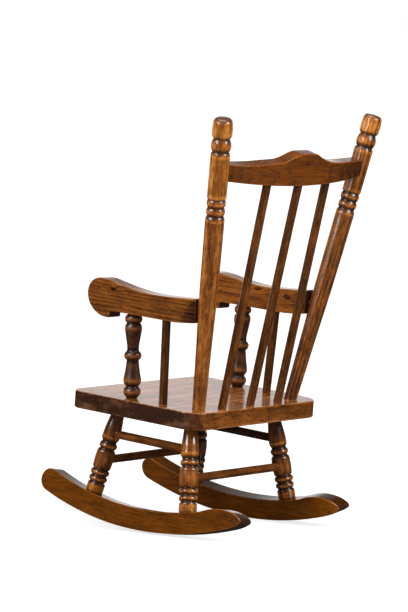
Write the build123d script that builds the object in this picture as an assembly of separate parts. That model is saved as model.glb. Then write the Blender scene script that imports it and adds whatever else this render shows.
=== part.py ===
from build123d import *
from math import cos, radians, sin, sqrt, tan
import os

# Child's colonial rocking chair: plank seat on four turned legs and two sawn rockers,
# turned back posts with a bowed crest rail and three spindles, scrolled plank arms.
# Everything is drawn in the seat's own frame (origin on the centre of the seat top,
# just behind the line of the back posts, +X the sitter's left, +Y to the rear, +Z
# square to the seat) and is then tipped back onto the rockers by place(), the last
# step of each part.

# stock sizes
BOARD = 25.4                # seat, arms and rockers: inch board
RAIL_T = 19.0               # crest rail thickness
DOWEL_D = 12.7              # spindles and stretchers: half inch dowel
TENON_D = 19.0              # post and leg tenons in the seat
FOOT_TENON_D = 16.0         # leg tenons in the rockers
PIN_D = 9.5                 # hidden dowel between arm and back post
GLUE = 0.05                 # glue line around every round tenon
EASE = 1.6                  # sanded edge of the boards

# seat
SEAT_FRONT_Y = -217.6
SEAT_REAR_Y = 28.7
SEAT_FRONT_HALF = 148.0
SEAT_REAR_HALF = 144.0
SEAT_FRONT_R = 24.0
SEAT_REAR_R = 33.0

# back posts, crest rail and spindles
POST_X = 104.0              # post centre on the seat top
BACK_Y = -1.2               # where the leaning plane of the back meets the seat top
BACK_LEAN = 8.7             # back leans this much off the seat's square
POST_SPLAY = 8.66           # posts open outwards, measured in the leaning plane
POST_TENON = 19.0
POST_FLAT = 13.0            # half width across the flats left for the rail
RAIL_BOW = 20.0             # crest rail bows back this much at the middle
RAIL_BOTTOM = 339.0         # up the leaning plane, at the middle
SPINDLE_X = 63.0
SPINDLE_Y = 7.4
SPINDLE_TOP_X = 66.5
SOCKET = 16.0               # depth of the dowel sockets

# arms and their turned supports
ARM_X = 123.3               # arm centre line, square to the seat's front
ARM_POST_Y = -118.0
ARM_POST_FOOT_X = 119.0
ARM_POST_TOP_Y = -120.8
ARM_UNDER_Z = 124.2
ARM_SPINDLE_Y = -57.0
ARM_SPINDLE_FOOT = (116.8, -58.6)
ARM_END_Y = 7.2
ARM_PIN_Z = 144.5

# legs, stretchers and rockers
LEG_X = 93.2                # leg centre on the underside of the seat
LEG_REAR_Y = -23.1
LEG_FRONT_Y = -163.5
LEG_SPLAY = 8.9
LEG_RAKE = 10.0
LEG_L = 128.4               # shoulder of the foot to the seat
LEG_TENON = 17.5
FOOT_TENON = 19.0
SIDE_STRETCHER_S = 90.2     # height up the leg of the side stretchers
CROSS_STRETCHER_S = 48.3    # height up the leg of the front and rear stretchers
ROCKER_X = 113.0
ROCKER_R = 550.0
ROCKER_CY = -98.0           # centre of the rocking arc
ROCKER_CZ = 356.8
ROCKER_TOP_R = 508.0        # upper edge of the band, a little deeper at the nose
ROCKER_TOP_CY = -93.5
ROCKER_TOP_CZ = 346.7

# rest on the floor
REST_TILT = 4.854           # the empty chair settles tipped back by this much


def place(part):
    """Tip a part from the seat's frame back onto the floor: origin between the
    two contact lines of the rockers, under the chair's centre of gravity."""
    tipped = Rot(-REST_TILT, 0, 0) * part
    a = radians(REST_TILT)
    y = ROCKER_CY * cos(a) + ROCKER_CZ * sin(a)
    z = -ROCKER_CY * sin(a) + ROCKER_CZ * cos(a) - ROCKER_R
    return Pos(0, -y, -z) * tipped


def mirrored(part):
    return mirror(part, about=Plane.YZ)


# ---- lines the parts are set out on ---------------------------------------------

def along(start, end, x_dir=None):
    """Plane at start whose Z runs to end: where a turned part is set out."""
    start, end = Vector(start), Vector(end)
    return Plane(origin=start, x_dir=x_dir, z_dir=(end - start).normalized())


def back_plane_point(x, up, behind=0.0):
    """A point of the leaning back: x across, up the slope, behind its plane."""
    a = radians(BACK_LEAN)
    return Vector(x, BACK_Y + up * sin(a) + behind * cos(a), up * cos(a) - behind * sin(a))


def post_line():
    top = back_plane_point(POST_X + 440 * tan(radians(POST_SPLAY)), 440)
    side = back_plane_point(1, 0) - back_plane_point(0, 0)
    up = back_plane_point(0, 1) - back_plane_point(0, 0)
    across = side * cos(radians(POST_SPLAY)) - up * sin(radians(POST_SPLAY))
    return along(back_plane_point(POST_X, 0), top, x_dir=across)


def rail_behind(x):
    """How far the crest rail's centre line is bowed behind the posts at x."""
    half = POST_X + 356 * tan(radians(POST_SPLAY))
    return RAIL_BOW * (1 - (x / half) ** 2)


def spindle_line(x):
    foot = Vector(x, SPINDLE_Y, 0)
    top_x = x * SPINDLE_TOP_X / SPINDLE_X
    top = back_plane_point(top_x, RAIL_BOTTOM + 2, rail_behind(top_x))
    return foot, top


def leg_line(rear):
    """Foot shoulder and seat point of a left leg."""
    y = LEG_REAR_Y if rear else LEG_FRONT_Y
    rake = radians(LEG_RAKE) * (1 if rear else -1)
    down = Vector(tan(radians(LEG_SPLAY)), tan(rake), -1).normalized()
    top = Vector(LEG_X, y, -BOARD)
    return top + down * LEG_L, top


def leg_point(rear, s):
    foot, top = leg_line(rear)
    return foot + (top - foot).normalized() * s


def arm_post_line():
    return Vector(ARM_POST_FOOT_X, ARM_POST_Y, 0), Vector(ARM_X, ARM_POST_TOP_Y, ARM_UNDER_Z)


def arm_spindle_line():
    return Vector(*ARM_SPINDLE_FOOT, 0), Vector(ARM_X, ARM_SPINDLE_Y, ARM_UNDER_Z + 0.2)


def arm_pin_line():
    """Hidden dowel: from inside the back end of the arm into the post."""
    start = Vector(ARM_X, ARM_END_Y - 24, ARM_PIN_Z)
    end = Vector(ARM_X, ARM_END_Y + 10, ARM_PIN_Z)
    return start, end


def rod(start, end, diameter, before=0.0, after=0.0):
    """Round bar from start to end, run on by before and after."""
    start, end = Vector(start), Vector(end)
    unit = (end - start).normalized()
    length = (end - start).length + before + after
    bar = Cylinder(diameter / 2, length, align=(Align.CENTER, Align.CENTER, Align.MIN))
    return along(start - unit * before, end) * bar


def socket(start, end, diameter, depth):
    """Drill the hole for a round tenon that runs past end by depth."""
    start, end = Vector(start), Vector(end)
    unit = (end - start).normalized()
    return rod(end - unit * 12, end + unit * depth, diameter + 2 * GLUE)


def lathe(steps):
    """Turn a profile round Z. Each step is (radius, height) for a straight cut,
    (mid radius, mid height, radius, height) for an arc, or a list of points for a
    flowing curve; flat ends close the profile on the axis."""
    r, z = steps[0]
    lines = [Line((0, 0, z), (r, 0, z))]
    here = (r, 0, z)
    for step in steps[1:]:
        if isinstance(step, list):
            points = [here] + [(p[0], 0, p[1]) for p in step]
            lines.append(Spline(*points))
            here = points[-1]
        elif len(step) == 4:
            there = (step[2], 0, step[3])
            lines.append(ThreePointArc(here, (step[0], 0, step[1]), there))
            here = there
        else:
            there = (step[0], 0, step[1])
            lines.append(Line(here, there))
            here = there
    if here[0] > 0:
        lines.append(Line(here, (0, 0, here[2])))
    lines.append(Line((0, 0, here[2]), (0, 0, z)))
    return revolve(make_face(Curve() + lines), Axis.Z)


# ---- seat -----------------------------------------------------------------------

def seat():
    """Plank seat with eased edges and blind sockets above and below."""
    outline = Polyline(
        (-SEAT_FRONT_HALF, SEAT_FRONT_Y),
        (SEAT_FRONT_HALF, SEAT_FRONT_Y),
        (SEAT_REAR_HALF, SEAT_REAR_Y),
        (-SEAT_REAR_HALF, SEAT_REAR_Y),
        close=True,
    )
    plank = Pos(0, 0, -BOARD) * extrude(make_face(outline), BOARD)
    uprights = plank.edges().filter_by(Axis.Z)
    plank = fillet(uprights.group_by(Axis.Y)[0], SEAT_FRONT_R)
    plank = fillet(plank.edges().filter_by(Axis.Z).group_by(Axis.Y)[-1], SEAT_REAR_R)
    rims = plank.faces().filter_by(Axis.Z).edges()
    plank = fillet(rims, EASE)
    post = post_line()
    holes = []
    for side in (1, -1):
        foot = post.origin
        cut = [socket(foot + post.z_dir * 30, foot, TENON_D, POST_TENON)]
        for rear in (True, False):
            a, b = leg_line(rear)
            cut.append(socket(a, b, TENON_D, LEG_TENON))
        for a, b in (arm_post_line(), arm_spindle_line()):
            cut.append(socket(b, a, DOWEL_D, SOCKET))
        a, b = spindle_line(SPINDLE_X)
        cut.append(socket(b, a, DOWEL_D, SOCKET))
        holes += cut if side > 0 else [mirrored(c) for c in cut]
    a, b = spindle_line(0)
    holes.append(socket(b, a, DOWEL_D, SOCKET))
    return plank - holes


# ---- back -----------------------------------------------------------------------

def back_post():
    """Turned post: swelling shaft, two beads, a flatted block for the crest
    rail, a broad bead and a button knob."""
    body = lathe([
        (TENON_D / 2, -POST_TENON),
        (TENON_D / 2, 0),
        [(10.3, 40), (11.5, 107), (13.0, 168), (13.6, 235), (13.9, 287)],
        (13.3, 292.6, 11.5, 295.8),
        (13.7, 302.1, 11.5, 308.4),
        (13.9, 314.7, 11.7, 321.0),
        (14.0, 322.2),
        (14.0, 383.5),
        (13.5, 387.8, 11.7, 390.6),
        (14.4, 400.0, 11.5, 409.6),
        (11.5, 410.6),
        (13.7, 412.8, 14.4, 417.0),
        (14.6, 424.5, 14.0, 431.5),
        (12.3, 437.4, 8.0, 440.2),
        (0, 440.7),
    ])
    blank = Box(2 * POST_FLAT, 2 * POST_FLAT, 68.5, align=(Align.CENTER, Align.CENTER, Align.MIN))
    knob = Box(27.4, 27.4, 60, align=(Align.CENTER, Align.CENTER, Align.MIN))
    block = Pos(0, 0, 321.6) * blank
    shaft = Cylinder(20, 361, align=(Align.CENTER, Align.CENTER, Align.MIN))
    limits = Pos(0, 0, -39.4) * shaft + block + Pos(0, 0, 390.1) * knob
    turned = post_line() * (body & limits)
    a, b = arm_pin_line()
    turned -= rod(a, b, PIN_D + 2 * GLUE)
    return turned - rail_tenon(GLUE)


def rail_tenon(slack=0.0):
    """Flat tenon on the left end of the crest rail, square to the post."""
    post = post_line()
    up = 360.5
    t = Box(24, 10 + 2 * slack, 17 + 2 * slack, align=(Align.MAX, Align.CENTER, Align.CENTER))
    return post * Pos(-2.0 + slack, 0, up) * t


def crest_rail():
    """Bowed crest rail sawn to shape: raised middle, low shoulders."""
    slope = tan(radians(POST_SPLAY))
    inner = POST_X - POST_FLAT / cos(radians(POST_SPLAY))
    end_low = (inner + 344 * slope, 344.0)
    end_high = (inner + 368.6 * slope, 368.6)
    right_low = (-end_low[0], 344.0)
    right_high = (-end_high[0], 368.6)
    top_right = [(-108, 369.3), (-78, 372.0), (-50, 374.6), (-33, 380.6), (-17, 386.2)]
    top_left = [(-p[0], p[1]) for p in reversed(top_right)]
    lines = [
        ThreePointArc(right_low, (0, RAIL_BOTTOM), end_low),
        Line(end_low, end_high),
        Spline(end_high, *reversed(top_left)),
        ThreePointArc(top_left[0], (0, 387.0), top_right[-1]),
        Spline(*reversed(top_right), right_high),
        Line(right_high, right_low),
    ]
    front_view = Plane.XZ * make_face(Curve() + lines)
    board = Pos(0, 60, 0) * extrude(front_view, 90)
    half = 160
    drop = RAIL_BOW - rail_behind(half)
    arc_r = (half ** 2 + drop ** 2) / (2 * drop)
    ring = Cylinder(arc_r + RAIL_T / 2, 60) - Cylinder(arc_r - RAIL_T / 2, 60)
    plan = Pos(0, RAIL_BOW - arc_r, 362) * ring
    rail = board & plan
    long_edges = rail.edges().filter_by(lambda e: e.length > 30 and abs(e.tangent_at(0.5).X) > 0.7)
    rail = fillet(long_edges, EASE)
    rail = Pos(0, BACK_Y, 0) * Rot(-BACK_LEAN, 0, 0) * rail
    rail += rail_tenon()
    rail += mirrored(rail_tenon())
    for x in (-SPINDLE_X, 0, SPINDLE_X):
        foot, top = spindle_line(x)
        rail -= socket(foot, top, DOWEL_D, SOCKET)
    return rail


def back_spindle(x):
    foot, top = spindle_line(x)
    return rod(foot, top, DOWEL_D, before=SOCKET, after=SOCKET)


# ---- arms -----------------------------------------------------------------------

def arm():
    """Plank arm with a scrolled front end and a notch behind the scroll; the back
    end is scooped to sit against the round of the post."""
    notch_low = (-158.2, 114.0)
    notch_high = (-157.0, ARM_UNDER_Z)
    crown = (-179.0, 170.4)
    end_low = (ARM_END_Y, 128.4)
    end_high = (ARM_END_Y, 163.4)
    nose = [(-169.5, 114.0), (-189.4, 121.6), (-202.0, 138.0), (-200.8, 157.8), (-191.0, 167.4)]
    sweep = [(-159.0, 168.5), (-128.5, 163.2), (-80.0, 159.1), (-30.0, 160.9)]
    lines = [
        Spline(notch_low, *nose, crown, *sweep, end_high),
        Line(end_high, end_low),
        ThreePointArc(end_low, (-14.0, 125.9), (-36.0, ARM_UNDER_Z)),
        Line((-36.0, ARM_UNDER_Z), notch_high),
        Line(notch_high, notch_low),
    ]
    side_view = Plane.YZ * make_face(Curve() + lines)
    plank = Pos(ARM_X - BOARD / 2, 0, 0) * extrude(side_view, BOARD)
    plank = fillet(plank.faces().filter_by(Axis.X).edges(), EASE)
    a, b = arm_post_line()
    plank -= socket(a, b, DOWEL_D, SOCKET)
    a, b = arm_spindle_line()
    plank -= socket(a, b, DOWEL_D, SOCKET)
    a, b = arm_pin_line()
    plank -= rod(a, b, PIN_D + 2 * GLUE, after=6)
    post = post_line() * Pos(0, 0, 100) * Cone(11.5, 13.5, 90, align=(Align.CENTER, Align.CENTER, Align.MIN))
    return plank - post


def arm_post():
    """Turned support of the arm: ball foot, vase, bead, vase and top bead."""
    foot, top = arm_post_line()
    length = (top - foot).length
    gap = 0.45                  # keeps the shoulders, square to the slant, off the boards
    body = lathe([
        (DOWEL_D / 2, -SOCKET),
        (DOWEL_D / 2, gap),
        (8.8, gap),
        (8.8, 2.2),
        (13.0, 9.6, 9.3, 16.8),
        (9.3, 17.8),
        [(12.7, 23.0), (12.1, 33.0), (9.8, 47.5), (8.8, 55.6)],
        (9.4, 56.6),
        (12.8, 63.0, 9.4, 69.2),
        (8.7, 70.2),
        [(8.7, 76.0), (10.1, 86.0), (12.0, 98.0), (12.4, 105.5), (11.0, 109.5)],
        (9.2, 110.6),
        (12.9, 116.8, 9.3, 123.0),
        (9.3, length - gap),
        (DOWEL_D / 2, length - gap),
        (DOWEL_D / 2, length + SOCKET),
    ])
    return along(foot, top) * body


def arm_spindle():
    foot, top = arm_spindle_line()
    return rod(foot, top, DOWEL_D, before=SOCKET, after=SOCKET)


def arm_dowel():
    a, b = arm_pin_line()
    return rod(a, b, PIN_D)


# ---- legs, stretchers and rockers -----------------------------------------------

def leg(rear):
    """Turned leg: foot band, twin beads, barrel, bead and a tapering bulb."""
    foot, top = leg_line(rear)
    body = lathe([
        (FOOT_TENON_D / 2, -FOOT_TENON),
        (FOOT_TENON_D / 2, 0),
        (12.7, 0),
        (13.1, 5.5, 13.0, 10.4),
        (12.5, 12.9, 10.8, 14.4),
        (10.8, 15.2),
        (13.8, 19.6, 10.8, 24.2),
        (10.8, 25.1),
        (14.2, 29.7, 10.8, 34.4),
        (10.8, 35.3),
        (13.3, 36.2),
        (14.1, 48.0, 13.7, 60.0),
        (13.0, 63.6, 10.7, 65.6),
        (10.7, 66.6),
        (13.4, 71.4, 10.7, 76.4),
        (10.7, 78.0),
        [(12.9, 82.0), (13.1, 88.0), (12.6, 97.0), (11.2, 108.5), (9.9, 120.5), (9.5, LEG_L)],
        (TENON_D / 2, LEG_L + LEG_TENON),
    ])
    turned = along(foot, top) * body
    a, b = stretcher_line("side")
    turned -= rod(a, b, DOWEL_D + 2 * GLUE)
    a, b = stretcher_line("rear" if rear else "front")
    return turned - rod(a, b, DOWEL_D + 2 * GLUE)


def stretcher_line(name):
    if name == "side":
        a = leg_point(False, SIDE_STRETCHER_S)
        b = leg_point(True, SIDE_STRETCHER_S)
        return a + Vector(0, -4, 0), b + Vector(0, 4, 0)
    a = leg_point(name == "rear", CROSS_STRETCHER_S) + Vector(4, 0, 0)
    return Vector(-a.X, a.Y, a.Z), a


def stretcher(name):
    a, b = stretcher_line(name)
    return rod(a, b, DOWEL_D)


def rocker():
    """Sawn rocker: rounded nose, even band along the rocking arc, and a hump
    in the tail behind the rear leg."""
    def on_sole(y):
        return (y, ROCKER_CZ - sqrt(ROCKER_R ** 2 - (y - ROCKER_CY) ** 2))

    def on_top(y):
        return (y, ROCKER_TOP_CZ - sqrt(ROCKER_TOP_R ** 2 - (y - ROCKER_TOP_CY) ** 2))
    sole = ThreePointArc(on_sole(-271.4), on_sole(-98), on_sole(106.0))
    top = ThreePointArc(on_top(40), on_top(-98), on_top(-260.5))
    tip = JernArc(sole @ 1, sole % 1, 7.0, 138)
    hump = Spline(tip @ 1, (90.0, -134.4), (74.0, -131.3), (56.5, -136.4), top @ 0,
                  tangents=[tip % 1, top % 0])
    nose = TangentArc(top @ 1, sole @ 0, tangent=top % 1)
    lines = [sole, tip, hump, top, nose]
    side_view = Plane.YZ * make_face(Curve() + lines)
    plank = Pos(ROCKER_X - BOARD / 2, 0, 0) * extrude(side_view, BOARD)
    plank = fillet(plank.faces().filter_by(Axis.X).edges(), EASE)
    for rear in (True, False):
        foot, top = leg_line(rear)
        plank -= socket(top, foot, FOOT_TENON_D, FOOT_TENON)
    return plank


# ---- build ----------------------------------------------------------------------

def main():
    left = {
        "rocker": rocker(),
        "leg_front": leg(False),
        "leg_rear": leg(True),
        "stretcher": stretcher("side"),
        "back_post": back_post(),
        "back_spindle": back_spindle(SPINDLE_X),
        "arm": arm(),
        "arm_post": arm_post(),
        "arm_spindle": arm_spindle(),
        "arm_dowel": arm_dowel(),
    }
    parts = {
        "seat": seat(),
        "crest_rail": crest_rail(),
        "back_spindle_centre": back_spindle(0),
        "stretcher_front": stretcher("front"),
        "stretcher_rear": stretcher("rear"),
    }
    for name, part in left.items():
        parts[name + "_left"] = part
        parts[name + "_right"] = mirrored(part)
    os.makedirs("parts", exist_ok=True)
    for name, part in parts.items():
        export_step(place(part), "parts/" + name + ".step")


main()
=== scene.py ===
import bmesh
import bpy
import math
import numpy as np
from mathutils import Matrix, Vector


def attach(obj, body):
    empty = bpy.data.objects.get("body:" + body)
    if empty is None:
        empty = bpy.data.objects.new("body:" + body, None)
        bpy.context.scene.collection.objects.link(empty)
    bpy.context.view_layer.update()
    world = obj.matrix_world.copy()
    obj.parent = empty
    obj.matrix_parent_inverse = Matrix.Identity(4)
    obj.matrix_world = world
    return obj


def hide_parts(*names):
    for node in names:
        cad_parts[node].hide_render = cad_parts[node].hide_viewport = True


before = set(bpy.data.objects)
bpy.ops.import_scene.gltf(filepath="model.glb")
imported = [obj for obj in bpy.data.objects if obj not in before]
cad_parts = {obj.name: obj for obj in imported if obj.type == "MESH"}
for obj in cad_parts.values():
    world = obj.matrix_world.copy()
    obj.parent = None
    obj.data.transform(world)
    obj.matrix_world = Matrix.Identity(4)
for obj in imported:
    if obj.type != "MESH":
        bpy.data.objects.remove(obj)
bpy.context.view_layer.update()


# ---- seat ----------------
# The plank seat is one piece of knotty inch board with its grain running from side to
# side, bandsawn to a slight taper, corners rounded and all edges sanded by hand.

# Every piece is set out from the seat's top, in mm: x to the sitter's left from its
# middle, y to the rear from just behind the feet of the back posts, and z up.
REST_TILT = math.radians(4.854)     # the empty chair settles tipped back by this much
ROCKING_CENTRE = (-98.0, 356.8)     # centre of the rocking arc, y and z in the seat's frame
ROCKING_RADIUS = 550.0

BOARD = 25.4                        # inch board
SEAT_CORNERS = [(-148.0, -217.6, 24.0), (148.0, -217.6, 24.0),      # x, y and radius
                (144.0, 28.7, 33.0), (-144.0, 28.7, 33.0)]


def on_floor(points):
    """Seat's frame in mm to the shared frame in m: turned about X by the rest tilt, then
    moved so that the lowest point of the rocking arc is the origin."""
    c, s = math.cos(REST_TILT), math.sin(REST_TILT)
    cy, cz = ROCKING_CENTRE
    x, y, z = points[..., 0], points[..., 1], points[..., 2]
    return np.stack([x, y * c + z * s - (cy * c + cz * s),
                     z * c - y * s - (cz * c - cy * s - ROCKING_RADIUS)], axis=-1) / 1000


def round_corner(before, at, after, radius, count=7):
    """The arc of that radius that touches both sides of a corner."""
    before, at, after = (np.array(q, float) for q in (before, at, after))
    u = (before - at) / np.linalg.norm(before - at)
    v = (after - at) / np.linalg.norm(after - at)
    half = math.acos(np.clip(u @ v, -1, 1)) / 2
    centre = at + (u + v) / np.linalg.norm(u + v) * radius / math.sin(half)
    reach = radius / math.tan(half)
    swing = np.linspace(0, 1, count)[:, None]
    chord = (at + u * reach) * (1 - swing) + (at + v * reach) * swing - centre
    return centre + chord / np.linalg.norm(chord, axis=1, keepdims=True) * radius


def even_steps(outline, step):
    """The closed outline with points added evenly along each side, as few as leave no
    side longer than step."""
    side = np.roll(outline, -1, axis=0) - outline
    counts = np.maximum(1, np.ceil(np.linalg.norm(side, axis=1) / step)).astype(int)
    which = np.repeat(np.arange(len(outline)), counts)
    place = np.arange(len(which)) - np.repeat(np.cumsum(counts) - counts, counts)
    return outline[which] + side[which] * (place / counts[which])[:, None]


def hand_noise(length, seed, waves=5):
    """A smooth closed wave between about -1 and 1: a few sines with seeded phases."""
    rng = np.random.default_rng(seed)
    t = np.linspace(0, 2 * math.pi, length, endpoint=False)
    total = np.zeros(length)
    for k in range(1, waves + 1):
        total += np.sin(k * t * rng.integers(1, 5) + rng.uniform(0, 6.28)) / waves
    return total


def make_mesh(name, points, faces, flat_faces, grain, darkness, end_grain):
    """A closed mesh from points in the seat's frame: the faces are smooth, the flat
    faces aren't. grain holds each point's place in its own timber (along, across,
    through, in metres), the darkness value -1 where worn and 1 where stain collects, with
    painted light and shade added in, end_grain how squarely the surface cuts the fibres."""
    mesh = bpy.data.meshes.new(name)
    mesh.from_pydata(on_floor(points).tolist(), [], faces + flat_faces)
    smooth = np.array([True] * len(faces) + [False] * len(flat_faces))
    mesh.polygons.foreach_set("use_smooth", smooth)
    mesh.attributes.new("grain", "FLOAT_VECTOR", "POINT").data.foreach_set(
        "vector", np.asarray(grain, np.float32).ravel())
    for key, values in (("darkness", darkness), ("end_grain", end_grain)):
        mesh.attributes.new(key, "FLOAT", "POINT").data.foreach_set(
            "value", np.asarray(values, np.float32).ravel())
    work = bmesh.new()
    work.from_mesh(mesh)
    bmesh.ops.recalc_face_normals(work, faces=work.faces)
    work.to_mesh(mesh)
    work.free()
    piece = bpy.data.objects.new(name, mesh)
    bpy.context.scene.collection.objects.link(piece)
    return piece


def loops_to_faces(rows, columns):
    """Quads of a grid that is closed round its columns."""
    row = np.arange(rows - 1)[:, None] * columns
    col = np.arange(columns)[None, :]
    nxt = (col + 1) % columns
    quads = np.stack([row + col, row + nxt, row + columns + nxt, row + columns + col], axis=-1)
    return quads.reshape(-1, 4).tolist()


EASE_UNEVEN = 0.13                  # how far a hand-sanded edge's radius strays, as a share
FACE_RIM = 0.2                      # strip of flat face that the shading needs inside the edge


def board_piece(name, outline, to_seat, grain_axis, timber, seed, ease=1.6, wear=0.6,
                edge_stain=0.0, shade=None):
    """A board sawn to an outline with sanded edges. The outline is carried through the
    section: in over the face, round a quarter circle, down the edge, round again. Each
    ring is the outline moved inwards along its mitred normals. to_seat places points
    (p, q, depth) in the seat's frame; timber offsets the grain so that boards differ.
    wear pales the eased edge, edge_stain darkens the sawn edge and shade(points) darkens
    or lightens any place, by stain where it collects and by painted light and shade."""
    n = len(outline)
    ahead = np.roll(outline, -1, axis=0) - outline
    area = np.sum(outline[:, 0] * ahead[:, 1] - outline[:, 1] * ahead[:, 0])
    ahead /= np.linalg.norm(ahead, axis=1, keepdims=True)
    normal = np.stack([-ahead[:, 1], ahead[:, 0]], axis=1) * np.sign(area)
    mitre = normal + np.roll(normal, 1, axis=0)
    mitre /= np.sum(mitre * normal, axis=1, keepdims=True)
    outward = -mitre / np.linalg.norm(mitre, axis=1, keepdims=True)
    radius = ease * (1 + EASE_UNEVEN * hand_noise(n, seed))
    half = BOARD / 2
    rings = [(radius + FACE_RIM, np.full(n, half), 0.0, 0.0)]
    for angle in np.linspace(0, math.pi / 2, 6):
        inset = radius * (1 - math.sin(angle))
        rings.append((inset, half - radius * (1 - math.cos(angle)), -wear, math.sin(angle)))
    for share, worn in ((0.96, 0.6), (0.82, 0.2), (0.0, 0.0)):      # of the half edge, of the wear
        rings.append((np.zeros(n), (half - radius) * share, -wear * worn, 1.0))
    rings += [(inset, -depth, worn, side) for inset, depth, worn, side in rings[-2::-1]]
    points, grain_end, darkness = [], [], []
    for inset, depth, worn, side in rings:
        flat = outline + mitre * np.reshape(inset, (-1, 1))
        points.append(np.column_stack([flat, np.broadcast_to(depth, n)]))
        grain_end.append(side * np.abs(outward @ np.array(grain_axis[:2])))
        darkness.append(np.full(n, worn + edge_stain * side))
    local = np.vstack(points)
    darkness = np.concatenate(darkness) + (shade(local) if shade else 0.0)
    along = np.array(grain_axis, float)
    across = np.array([-grain_axis[1], grain_axis[0], 0.0])
    grain = np.stack([local @ along, local @ across, local[:, 2]], axis=1) / 1000 + np.array(timber)
    faces = loops_to_faces(len(rings), n)
    caps = [list(range(n)), list(range((len(rings) - 1) * n, len(rings) * n))]
    return make_mesh(name, to_seat(local), faces, caps, grain, darkness, np.concatenate(grain_end))


def linear(code):
    """An sRGB hex colour as the linear values that Blender's sockets take."""
    channels = [int(code[i:i + 2], 16) / 255 for i in (1, 3, 5)]
    return [c / 12.92 if c <= 0.04045 else ((c + 0.055) / 1.055) ** 2.4 for c in channels] + [1.0]


def add_node(tree, kind, inputs=None, **settings):
    """Adds a node, sets its properties, and sets or links its inputs. An input that is
    given as a node takes that node's first output."""
    node = tree.nodes.new(kind)
    for key, value in settings.items():
        setattr(node, key, value)
    for key, value in (inputs or {}).items():
        if isinstance(value, bpy.types.Node):
            value = value.outputs[0]
        if isinstance(value, bpy.types.NodeSocket):
            tree.links.new(value, node.inputs[key])
        else:
            node.inputs[key].default_value = value
    return node


WAVER = 0.004                       # how far rings stray from round, in m
KNOT_OVAL = (0.55, 1.0, 0.4)        # a knot is longest through the board, then along it


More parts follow.
